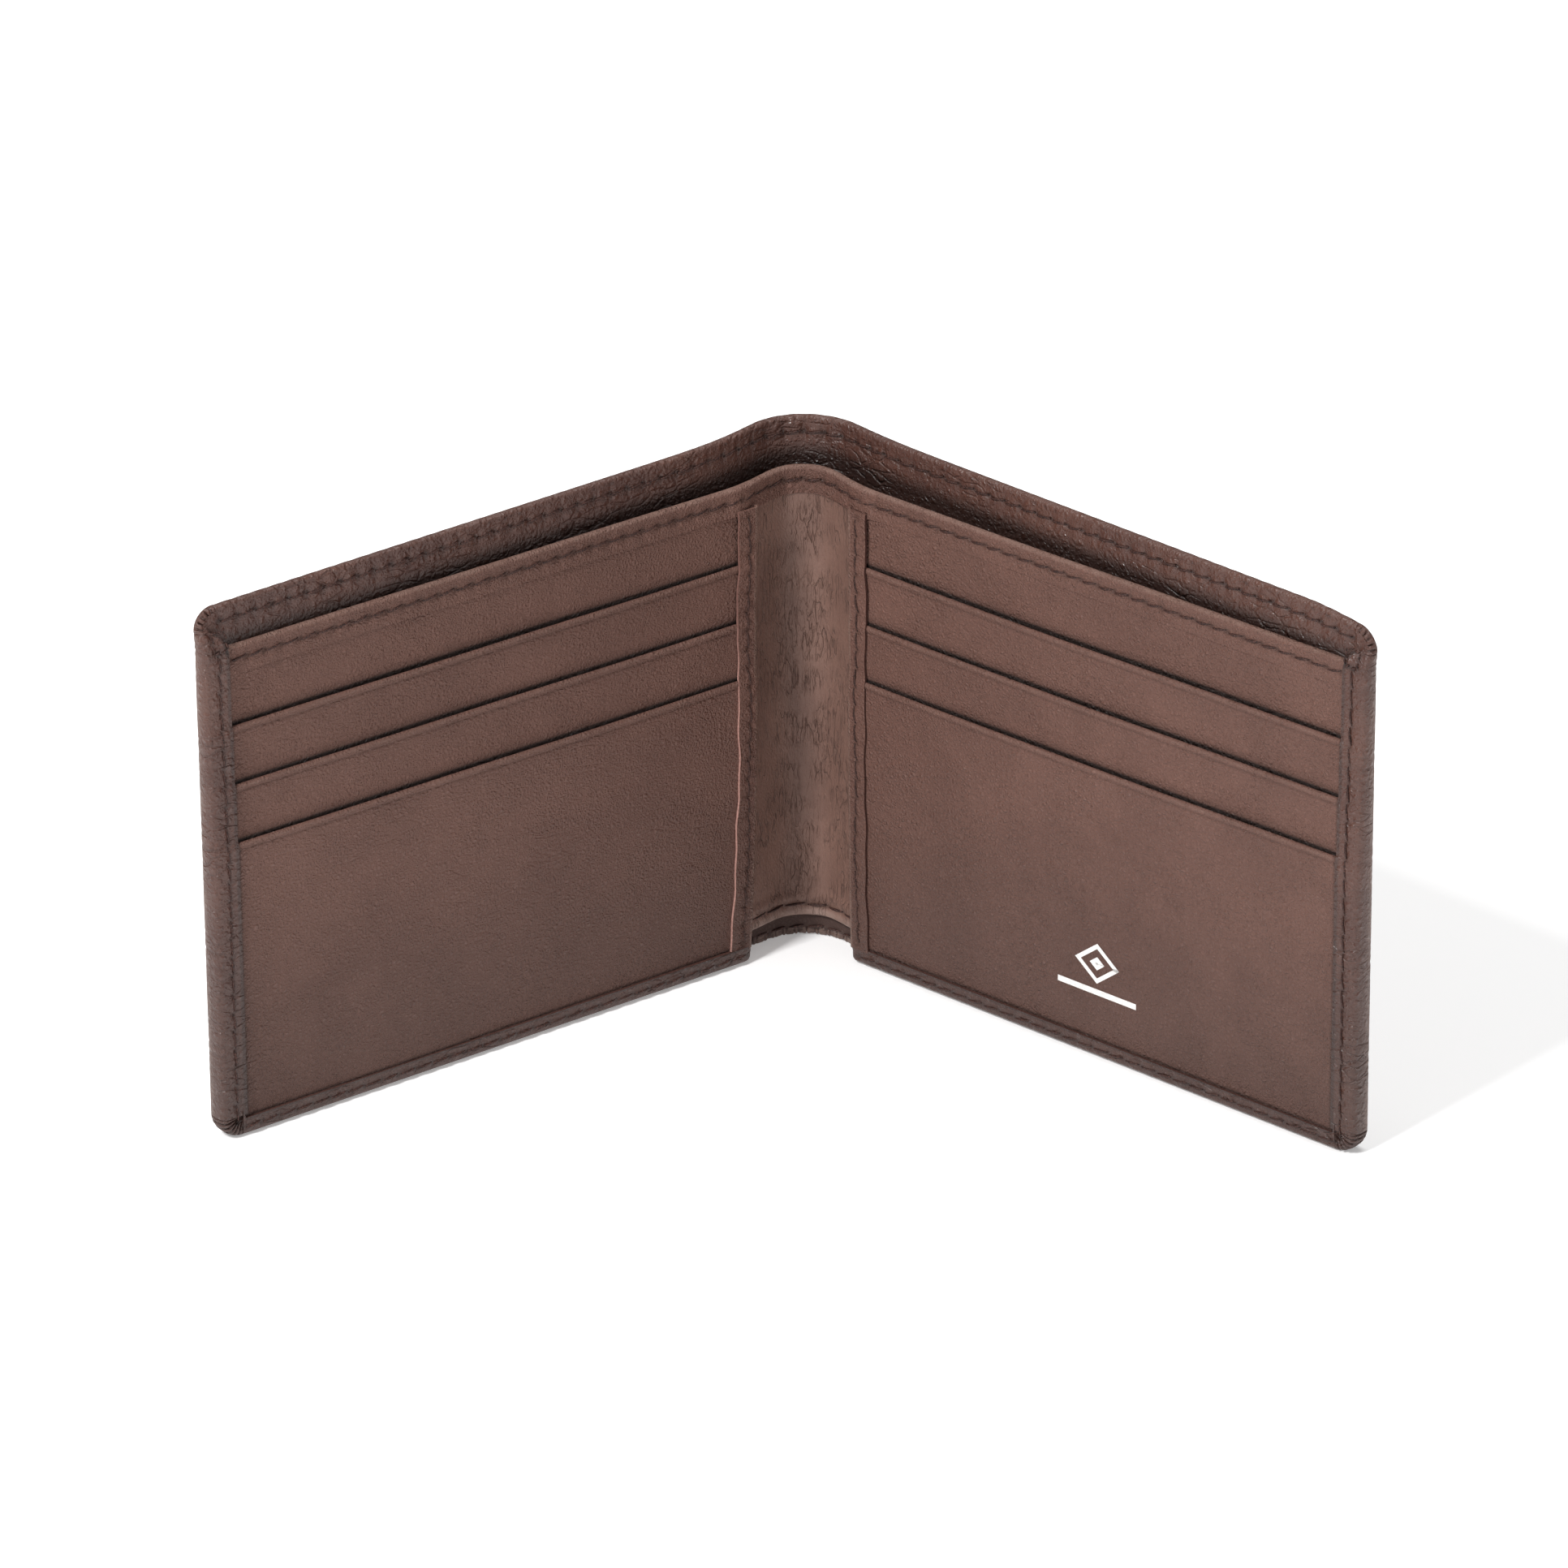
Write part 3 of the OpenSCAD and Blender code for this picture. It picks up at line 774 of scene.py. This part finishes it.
def shell(side):
    """The outer leather from the middle of the spine to the outer edge, turned in all round."""
    columns, rows, u, z, du, dz, corner = along_outline()
    on_top = (dz == -1) & (z == WALLET_H)
    outer_inset, outer_depth, inner_inset, inner_depth = shell_profile(side, u, z, on_top)

    def place(inset, depth):
        return shell_point(side, u + inset * du, z + inset * dz, depth)

    u, z, du, dz, corner = (values[:, None] for values in (u, z, du, dz, corner))
    rolled = bump(outer_inset, 0, 0.9)
    turned = smooth(outer_depth, 0.4, 1.2)
    on_side = du == -1
    corner_angle = np.degrees(np.arctan2(np.abs(dz), np.abs(du)))
    pleat = gather(corner_angle, 15) * corner * turned * smooth(outer_inset, CORNER_R + 0.4, CORNER_R - 1.6)
    below_spine = (z == 0) & (u < ARC_U + fold_s(side, 0) - 0.5)
    spine_pleat = gather(u + 0.35 * np.sin(3 * u), 1.25) * below_spine * turned
    side_crease = gather(z + 0.5 * np.sin(0.9 * z), 1.7) * on_side
    side_crease = side_crease * (0.5 + 0.5 * np.sin(0.37 * z + 2)) * bump(outer_inset, 0.3, 1.2)
    sunk = 0.6 * pleat + 0.34 * spine_pleat + 0.14 * side_crease
    outer_inset = outer_inset + sunk * rolled
    outer_depth = outer_depth - sunk * (1 - rolled)

    skin = Leather()
    # Painted light on the turned edge: paler along the side's roll and the rim (wear and a painted
    # highlight), painted shade where the outer face turns away, painted light on the turned spine bottom
    # lying in the hem's shadow, painted shade in the pleats and creases, and darker by the cut edge
    wear_and_painted_light = 0.4 * bump(outer_depth, 0.9, 0.8) * on_side + 0.05 * rolled
    wear_and_painted_light = wear_and_painted_light - 0.4 * smooth(outer_depth, 0.6, 0.1) * rolled
    at_spine = (z == 0) & (u < ARC_U + 5)
    wear_and_painted_light = wear_and_painted_light + 0.6 * turned * at_spine - 0.9 * pleat - 0.9 * spine_pleat - 0.3 * side_crease
    wear_and_painted_light[:, -2:] -= 0.5
    skin.skins(place(outer_inset, outer_depth), place(inner_inset, inner_depth), wear_and_painted_light, close="abd", raw="d")
    grid_u, grid_z = np.meshgrid(columns, rows, indexing="ij")
    # Painted shade on the shell's inside, darker down towards the card panel's top
    painted_inner_shade = -0.9 * smooth(grid_z, PANEL_TOP + 3.2, PANEL_TOP - 0.2)
    front, back = shell_point(side, grid_u, grid_z, 0), shell_point(side, grid_u, grid_z, SHELL_T)
    skin.skins(front, back, 0.0, painted_inner_shade, close="a")
    return skin.build(f"{side}_shell_leather", [OUTER, RAW_DARK])


def shell_seam(side, low, high, z, depth, towards, pitch=PITCH):
    """A level seam on the shell between two path lengths."""
    u = np.linspace(low, high, 300)
    points = shell_point(side, u, z, depth)
    return Seam(points, surface_normals(points, towards), pitch)


def upright_seam(side, z0, z1, depth_of, towards, u):
    """A seam on the shell from one height to another, at a path length."""
    z = np.linspace(z0, z1, 200)
    points = shell_point(side, u, z, depth_of(z))
    normals = np.tile(half_normal(side, 0, towards), (len(z), 1))
    return Seam(points, normals)


def corner_tack(side):
    """The small box of stitches that holds the turned corner at the end of the card panel."""
    low_s, high_s = OUTER_END - 4.4, OUTER_END - 1.9
    low_z, high_z = WALLET_H - 6.9, WALLET_H - 3.9
    corners = [(low_s, low_z), (high_s, low_z), (high_s, high_z), (low_s, high_z), (low_s, low_z)]
    seams = []
    for (s0, z0), (s1, z1) in zip(corners, corners[1:]):
        u, z = ARC_U + np.linspace(s0, s1, 20), np.linspace(z0, z1, 20)
        depth = SHELL_T + side_share(z) * (flange_depth(u, z) - SHELL_T)
        points = shell_point(side, u, z, depth)
        seams.append(Seam(points, np.tile(half_normal(side, 0, -1), (len(z), 1)), pitch=1.4))
    return seams


# ---- Leaves of the card panel ----


def rounded_end(share):
    """Thickness of a sheet towards its rounded end: 0 at the end, 1 where the share reaches 1."""
    return np.sqrt(np.clip(1 - (1 - np.minimum(share, 1)) ** 2, 0, 1))


def leaf_heights(z0, z1, mouth):
    """Sample heights of a leaf, close together at its top edge and at the mouth in front of it."""
    below = np.array([0, 0.03, 0.08, 0.15, 0.24, 0.4, 0.6, 0.8, 1.0, 1.12, 1.25, 1.38, 1.6, 2.0, 2.8])
    coarse = np.linspace(z1 - 3.6, z0, max(int((z1 - z0) / 1.3), 4))
    if mouth is not None:
        coarse = np.concatenate([coarse, mouth + np.array([0.1, 0.25, 0.4, 0.55, 0.7, 1.0, 1.5, 2.2])])
    coarse = np.concatenate([coarse, FLANGE_BOTTOM_W + np.array([-0.3, 0, 0.2, 0.4, 0.6, 0.9])])
    return np.unique(np.concatenate([z1 - below, coarse]))


def leaf(side, name, y_front, z0, z1, material, thickness=LEAF_T, gape=0.0, lip=0.0, mouth=None):
    """An upright leaf of leather with a soft top edge, which can gape at its middle.

    Shade is painted on it along the mouth of the pocket in front of it, and where it goes under the turned
    edge."""
    rim = 0.24
    z = leaf_heights(z0, z1, mouth)
    across = np.concatenate([np.linspace(0, 0.96, 100), np.linspace(0.96, 1, 16)[1:]])[:, None]
    start = fold_s(side, z) + (LEAF_START - PANEL_START)
    s = start + across * (LEAF_END - start)
    below = z1 - z
    half_t = thickness / 2 * rounded_end(below / rim)
    swell = lip * (bump(below, 0.55, 0.5) - 0.55 * bump(below, 1.25, 0.16))
    bow = gape * np.sin(math.pi * across) ** 0.7 * np.exp(-below / 9)
    middle = y_front + thickness / 2 + wave(side, s, z) - bow
    front = half_point(side, s, middle - half_t - swell, z)
    back = half_point(side, s, middle + half_t, z)
    skin = Leather()
    # Lip: paler along its top (wear and a painted highlight), with painted shade in the crease below it
    wear_and_painted_light = (0.25 * bump(below, 0.45, 0.3) - 0.25 * bump(below, 1.25, 0.2)) * (lip > 0)
    # Painted shade under the turned edge at the bottom and the side, and above the mouth in front
    painted_shade_on_leaf = 0.75 * smooth(z, FLANGE_BOTTOM_W + 0.7, FLANGE_BOTTOM_W + 0.1)
    side_edge = OUTER_END - FLANGE_SIDE_W
    painted_shade_on_leaf = np.maximum(painted_shade_on_leaf, 0.75 * smooth(s, side_edge - 0.8, side_edge - 0.1))
    if mouth is not None:
        above = 0.42 * smooth(z, mouth + 2.2, mouth) + 0.75 * smooth(z, mouth + 0.8, mouth + 0.2)
        painted_shade_on_leaf = np.maximum(painted_shade_on_leaf, above)
    skin.skins(front, back, wear_and_painted_light - painted_shade_on_leaf, wear_and_painted_light * np.ones_like(s))
    return skin.build(name, [material])


def liner_points(side, place, back, height, offset):
    """Points at offsets from the plan curve of the spine's inner leather, a row for each of its places."""
    plan = place[:, None, :] + back[:, None, :] * offset[..., None]
    return np.stack([SIGN[side] * plan[..., 0], plan[..., 1], np.broadcast_to(height, offset.shape)], -1)


def liner_seam(side, place, back, offset, height):
    """A level seam on the front of the spine's inner leather."""
    plan = place + back * offset
    points = np.stack([SIGN[side] * plan[:, 0], plan[:, 1], np.full(len(plan), height)], 1)
    normals = np.stack([-SIGN[side] * back[:, 0], -back[:, 1], np.zeros(len(plan))], 1)
    return Seam(points, normals)


def band_path():
    """Plan of the panel's top hem, which runs on over the spine."""
    t = np.concatenate([np.linspace(0, 1, 44), 1 + np.arange(1, 192) * 0.051])
    place, back = liner_path(t, BAND_S, BAND_Y, BAND_APEX)
    s = (place[:, 0] - HINGE_X) * COS - (place[:, 1] - HINGE_Y) * SIN
    keep = s < LEAF_END
    return place[keep], back[keep], s[keep]


def top_band(side):
    """The rolled hem along the top of the card panel and the spine's inner leather."""
    place, back, s = band_path()
    depth = PANEL_TOP - BAND_BOTTOM
    half_t = 0.72
    angle = np.linspace(0, math.pi / 2, 9)
    straight = np.linspace(0, depth - half_t, 12)[:-1]
    height = BAND_BOTTOM - 0.1 + np.concatenate([straight, depth - half_t + half_t * np.sin(angle)])
    thick = np.concatenate([np.full(len(straight), half_t), half_t * np.cos(angle)])
    over_binding = bump(s, PANEL_START + 1.9, 2.6)[:, None] * 0.45
    rim = smooth(height, PANEL_TOP - 2.6, PANEL_TOP - 1.2)
    settle = 0.1 * bump(height, PANEL_TOP_LINE, 0.9)
    bow = wave(side, s[:, None], height) * smooth(s, 6, 14)[:, None]
    wrinkle = 0.05 * np.sin(7 * s + 1.7 * np.sin(2.3 * s))[:, None] * smooth(s, 4, 0)[:, None]
    front_t = -thick * (0.95 + 0.05 * rim) + settle - over_binding * (1 - 0.5 * rim) + bow + wrinkle
    back_t = thick + bow + wrinkle

    front = liner_points(side, place, back, height, front_t)
    rear = liner_points(side, place, back, height, back_t)
    skin = Leather()
    # Paler along the hem's top: wear and a painted highlight
    wear_and_painted_light = 0.5 * smooth(height, PANEL_TOP - 0.8, PANEL_TOP - 0.2) * np.ones_like(front_t)
    skin.skins(front, rear, wear_and_painted_light, wear_and_painted_light)
    return skin.build(f"{side}_top_hem", [INNER])


def band_seam(side):
    place, back, s = band_path()
    use = s < LEAF_END - 3.2
    front = -0.48 + wave(side, s, PANEL_TOP_LINE) * smooth(s, 6, 14) - 0.4 * bump(s, PANEL_START + 1.9, 2.6)
    return liner_seam(side, place[use], back[use], front[use, None], PANEL_TOP_LINE)


def strip_plan(t):
    return liner_path(t, STRIP_S, STRIP_Y, STRIP_APEX)


def strip(side):
    """The spine's inner leather, hemmed at the bottom."""
    t = np.linspace(0, 1, 60)
    place, back = strip_plan(t)
    hem_t = 0.62
    angle = np.linspace(math.pi / 2, 0, 8)[:-1]
    top = BAND_BOTTOM + 0.8 - STRIP_BOTTOM
    round_end = hem_t - hem_t * np.sin(angle)
    rise = np.concatenate([round_end, np.linspace(hem_t, 5, 12), np.linspace(6, top, 60)])
    z = STRIP_BOTTOM + rise
    hem = smooth(rise, 4.9, 3.4)
    thick = (STRIP_T / 2 + hem * (hem_t - STRIP_T / 2)) * rounded_end(rise / hem_t)
    settle = 0.2 * bump(z, STRIP_HEM_LINE, 0.8)
    ripple = np.sin(z / 9 + 4 * t[:, None]) * np.sin(math.pi * t[:, None])
    ripple = 0.1 * ripple * smooth(z, STRIP_BOTTOM + 3, STRIP_BOTTOM + 20)
    front = liner_points(side, place, back, z, settle + ripple - thick)
    rear = liner_points(side, place, back, z, thick + ripple)
    skin = Leather()
    wear_and_painted_light = 0.9 * smooth(z, STRIP_HEM_LINE - 0.5, STRIP_HEM_LINE - 0.9) * np.ones_like(ripple)
    skin.skins(front, rear, wear_and_painted_light)
    return skin.build(f"{side}_spine_strip", [CRACKLE])


def strip_seam(side):
    place, back = strip_plan(np.linspace(0, 0.8, 80))
    return liner_seam(side, place, back, -0.42, STRIP_HEM_LINE)


# ---- Binding ----


def binding_front(z):
    """Depth of the binding's front face in the half's frame."""
    return FLANGE_Y + FLANGE_STEP * level_step(z)


def binding_w(side, z):
    """Width of the binding's front leg, whose cut edge is a little uneven."""
    drift = {"left": 0.5, "right": 0.2}[side]
    ragged = 0.12 * np.sin(z / 3.1) + 0.09 * np.sin(z / 1.3 + 1)
    return BINDING_W + drift * np.clip(1 - z / 30, 0, 1) + ragged


def binding(side):
    """Leather folded round the panel's spine edge."""
    z = np.linspace(FLANGE_BOTTOM_W - 0.4, BAND_BOTTOM + 0.7, 220)[:, None]
    fold = fold_s(side, z)
    front = binding_front(z) + wave(side, fold, z) + BINDING_T / 2
    rear = WALL_Y + 0.45
    rear_w = 1.6
    radius = (rear - front) / 2
    angle = np.linspace(math.pi / 2, -math.pi / 2, 15)
    reach = np.minimum(radius, 0.95)
    leg = np.linspace(1, 0, 12)[:-1]
    front_leg = fold + reach + leg * (binding_w(side, z) - reach)
    bend_s = fold + reach * (1 - np.cos(angle))
    rear_leg = fold + reach + np.linspace(0, 1, 5)[1:] * rear_w
    bend_y = front + radius - radius * np.sin(angle)
    s = np.concatenate([front_leg, bend_s, rear_leg], 1)
    y = np.concatenate([front + 0 * front_leg, bend_y, rear + 0 * rear_leg], 1)
    ds, dy = np.gradient(s, axis=1), np.gradient(y, axis=1)
    length = np.hypot(ds, dy)
    off_s, off_y = -dy / length * BINDING_T / 2, ds / length * BINDING_T / 2
    outside = half_point(side, s + off_s, y + off_y, z + 0 * s)
    inside = half_point(side, s - off_s, y - off_y, z + 0 * s)
    wear_and_painted_light = np.zeros_like(s)
    # Paler on the fold: wear and a painted highlight
    wear_and_painted_light[:, len(leg) + 1 : len(leg) + len(angle) - 2] = 0.7
    skin = Leather()
    skin.skins(outside, inside, wear_and_painted_light, raw="c")
    return skin.build(f"{side}_binding_leather", [INNER, RAW_PALE if side == "left" else RAW_DARK])


def binding_seam(side):
    z = np.linspace(FLANGE_BOTTOM_W + 0.8, BAND_BOTTOM - 0.6, 300)
    s = fold_s(side, z) + 1.9 + 0.18 * np.sin(z / 4.2)
    y = binding_front(z) + wave(side, s, z)
    points = half_point(side, s, y, z)
    return Seam(points, np.tile(half_normal(side, 0, -1), (len(z), 1)))


# ---- Parts inside ----


def sheet_in_shell(side, name, u, z, depth, thickness, material):
    """A plain sheet that follows the shell at a depth."""
    u, z = np.meshgrid(u, z, indexing="ij")
    skin = Leather()
    skin.skins(shell_point(side, u, z, depth), shell_point(side, u, z, depth + thickness))
    return skin.build(f"{side}_{name}", [material])


def compartment_lining(side):
    """Lining of the shell inside the note compartment, from the middle of the spine outwards."""
    u, z = np.linspace(0, U_END - 3, 120), np.linspace(1.5, 76, 40)
    return sheet_in_shell(side, "compartment_lining", u, z, SHELL_T + 0.02, 0.18, LINING)


def stiffening_board(side):
    """The board inside the shell, which keeps it flat."""
    u, z = np.linspace(ARC_U + 4, U_END - 2.5, 80), np.linspace(3, 84, 40)
    return sheet_in_shell(side, "stiffening_board", u, z, 0.6, 0.35, BOARD)


# ---- Foil mark ----


def foil_mark():
    """A plain lozenge over a short bar, pressed on the right front pocket."""
    low, high = half_box("right_foil_mark")
    middle_s = (low[0] + high[0]) / 2
    half_w, half_h = 4.5, 3.5
    centre_z = high[2] - half_h
    bar_half_w, bar_h = 8, 1
    foil_t, proud = 0.07, 0.05
    line_w, middle_to_side = 0.7, 2.7
    turn = np.linspace(0, 4, 33)
    edge_s = half_w * np.interp(turn, range(5), [1, 0, -1, 0, 1])
    edge_z = half_h * np.interp(turn, range(5), [0, 1, 0, -1, 0])
    skin = Leather()

    def lay(s, z):
        y = POCKET_Y - proud + wave("right", s, z)
        skin.skins(half_point("right", s, y, z), half_point("right", s, y + foil_t, z))

    for inner, outer in ((1 - line_w / middle_to_side, 1), (0, 1 / 3)):
        ring = np.linspace(inner, outer, 4)[:, None]
        lay(middle_s + ring * edge_s, centre_z + ring * edge_z)
    bar_s = middle_s + np.linspace(-bar_half_w, bar_half_w, 33)
    lay(*np.meshgrid(bar_s, np.linspace(low[2], low[2] + bar_h, 3), indexing="ij"))
    return skin.build("right_foil_lozenge", [FOIL])


# ---- Putting the wallet together ----


def build_shell(side):
    """The shell's leather and its sewing."""
    outer = shell(side)
    outward = half_normal(side, 0, 1)
    end = U_END - CORNER_R - 0.6
    top_in = shell_seam(side, 0, end, SHELL_TOP_LINE, SHELL_T, -outward)
    top_out = shell_seam(side, 0, end, SHELL_TOP_LINE, 0, outward)
    side_u = ARC_U + SIDE_LINE
    low, high = CORNER_R - 1, WALLET_H - CORNER_R + 0.4
    side_in = upright_seam(side, low, PANEL_TOP - 0.6, lambda z: flange_depth(side_u, z), -1, side_u)
    side_out = upright_seam(side, low, high, lambda z: 0 * z, 1, side_u)
    u = np.linspace(0, U_END - CORNER_R - 0.2, 400)
    over = over_panel_at(side, u)
    depth = SHELL_T + over * (flange_depth(u, BOTTOM_LINE) - SHELL_T) + (1 - over) * SPINE_TURN_T
    front_points = shell_point(side, u, BOTTOM_LINE, depth)
    bottom_in = Seam(front_points, surface_normals(front_points, -outward))
    bottom_out = shell_seam(side, 0, end, BOTTOM_LINE, 0, outward)
    tack = corner_tack(side)
    press(outer, [top_in, top_out], hole=0.24, pucker=0.23, reach=1.8, painted_seam_shade=0.7)
    press(outer, [side_in, side_out, bottom_in, bottom_out], hole=0.16, pucker=0.04, reach=1.5)
    press(outer, tack, hole=0.1, pucker=0.0)
    bend(outer, side)
    spine = ["spine_shell"] if side == "left" else []
    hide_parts(f"{side}_shell", *spine)

    top = sew(f"{side}_shell_top_stitches", [top_in, top_out], THREAD, radius=0.19, slant=0.45, height=0.18)
    bend(top, side)
    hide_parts(f"{side}_shell_top_seam", *(["spine_shell_top_seam"] if spine else []))
    bottom = sew(f"{side}_bottom_stitches", [bottom_in, bottom_out], THREAD)
    bend(bottom, side)
    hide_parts(f"{side}_bottom_seam", *(["spine_shell_bottom_seam"] if spine else []))
    edge = sew(f"{side}_side_stitches", [side_in, side_out, *tack], THREAD, radius=0.19)
    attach(edge, f"{side}_half")
    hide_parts(f"{side}_side_seam")


def build_compartment(side):
    """What lies behind the card panel: the shell's lining, its board and the compartment's front wall."""
    lining = compartment_lining(side)
    bend(lining, side)
    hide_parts(f"{side}_lining", *(["spine_lining"] if side == "left" else []))
    board = stiffening_board(side)
    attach(board, f"{side}_half")
    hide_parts(f"{side}_stiffener")

    name, top = f"{side}_compartment_leaf", PANEL_TOP - 1.2
    wall = leaf(side, name, WALL_Y, LEAF_BOTTOM, top, LINING, thickness=0.25)
    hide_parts(f"{side}_compartment_wall")
    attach(wall, f"{side}_half")


def build_panel(side):
    """The card panel, its pockets, its top hem and its binding."""
    half = f"{side}_half"
    name, top = f"{side}_panel_leaf", BAND_BOTTOM + 0.6
    panel = leaf(side, name, PANEL_Y, LEAF_BOTTOM, top, INNER, mouth=MOUTHS[-1])
    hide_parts(f"{side}_card_panel")
    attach(panel, half)
    for number, level in enumerate(POCKETS):
        node = f"{side}_{level}_pocket"
        low = max(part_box(node)[0].z / MM, LEAF_BOTTOM)
        y = POCKET_Y + number * LEAF_STEP
        in_front = MOUTHS[number - 1] if number else None
        name, top = f"{node}_leaf", MOUTHS[number]
        pocket = leaf(side, name, y, low, top, INNER, gape=0.4, lip=0.17, mouth=in_front)
        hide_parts(node)
        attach(pocket, half)

    band = top_band(side)
    seam = band_seam(side)
    press(band, [seam], hole=0.24, pucker=0.08, painted_seam_shade=0.75)
    bend(band, side)
    stitches = sew(f"{side}_panel_top_stitches", [seam], THREAD, radius=0.23, slant=0.5, height=0.3)
    bend(stitches, side)
    spine = ["spine_strip_top_seam"] if side == "left" else []
    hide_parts(f"{side}_panel_top_seam", *spine)

    edging = binding(side)
    seam = binding_seam(side)
    press(edging, [seam], hole=0.2, pucker=0.1, reach=1.3, painted_seam_shade=0.35)
    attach(edging, half)
    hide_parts(f"{side}_binding")
    stitches = sew(f"{side}_binding_stitches", [seam], THREAD, radius=0.19)
    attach(stitches, half)
    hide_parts(f"{side}_binding_seam")


def build_spine(side):
    """The spine's inner leather and its hem's sewing."""
    inner = strip(side)
    seam = strip_seam(side)
    press(inner, [seam], hole=0.15, pucker=0.05)
    bend(inner, side)
    stitches = sew(f"{side}_strip_hem_stitches", [seam], THREAD)
    bend(stitches, side)
    if side == "left":
        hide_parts("spine_strip")
        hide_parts("spine_strip_hem_seam")


for side in SIDES:
    build_shell(side)
    build_compartment(side)
    build_panel(side)
    build_spine(side)

mark = foil_mark()
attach(mark, "right_half")
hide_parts("right_foil_mark")


# ---- Studio ----


def white_material(name, value, glow):
    material, tree, shader = new_material(name, 0.9, 0.1)
    shader.inputs["Emission Color"].default_value = rgb(1, 1, 1)
    shader.inputs["Emission Strength"].default_value = glow
    mottle = noise_of(tree, add(tree, "ShaderNodeTexCoord").outputs["Object"], 2.0)
    shade = mix_of(tree, mottle, rgb(value, value, value), rgb(value * 0.995, value * 0.995, value * 0.99))
    tree.links.new(shade, shader.inputs["Base Color"])
    return material


def floor():
    mesh = bpy.data.meshes.new("floor")
    reach = 6.0
    corners = [(-reach, -reach, 0), (reach, -reach, 0), (reach, reach, 0), (-reach, reach, 0)]
    mesh.from_pydata(corners, [], [(0, 1, 2, 3)])
    obj = bpy.data.objects.new("floor", mesh)
    mesh.materials.append(white_material("white floor", 0.92, glow=0.25))
    bpy.context.scene.collection.objects.link(obj)


def area_light(name, place, target, size, power, colour=(1, 1, 1)):
    data = bpy.data.lights.new(name, "AREA")
    data.shape = "RECTANGLE"
    data.size, data.size_y = size
    data.energy = power
    data.color = colour
    obj = bpy.data.objects.new(name, data)
    bpy.context.scene.collection.objects.link(obj)
    obj.location = place
    obj.rotation_euler = (Vector(target) - Vector(place)).to_track_quat("-Z", "Y").to_euler()


def lights():
    area_light("key", (-1.05, -1.15, 1.7), (0, 0, 0.04), (0.4, 0.4), 46)
    area_light("fill", (1.6, -0.8, 0.9), (0, 0, 0.05), (0.9, 0.9), 6)
    area_light("top", (0.1, 0.6, 1.9), (0, 0, 0.05), (1.4, 1.4), 22)
    world = bpy.data.worlds.new("studio")
    bpy.context.scene.world = world
    world.use_nodes = True
    background = world.node_tree.nodes["Background"].inputs
    background["Color"].default_value = rgb(1, 1, 1)
    background["Strength"].default_value = 0.22


def camera():
    azimuth, elevation, roll = math.radians(2.6), math.radians(26), math.radians(-0.45)
    distance = 1.6703
    target = Vector((-0.00123, -0.01246, 0.05088))
    level = math.cos(elevation)
    back = Vector((math.sin(azimuth) * level, -math.cos(azimuth) * level, math.sin(elevation)))
    data = bpy.data.cameras.new("camera")
    data.sensor_width = 36
    data.lens = 247.4
    obj = bpy.data.objects.new("camera", data)
    bpy.context.scene.collection.objects.link(obj)
    turn = (-back).to_track_quat("-Z", "Y").to_matrix() @ Matrix.Rotation(roll, 3, "Z")
    obj.matrix_world = Matrix.Translation(target + back * distance) @ turn.to_4x4()
    bpy.context.scene.camera = obj


floor()
lights()
camera()
bpy.context.scene.view_settings.view_transform = "Standard"
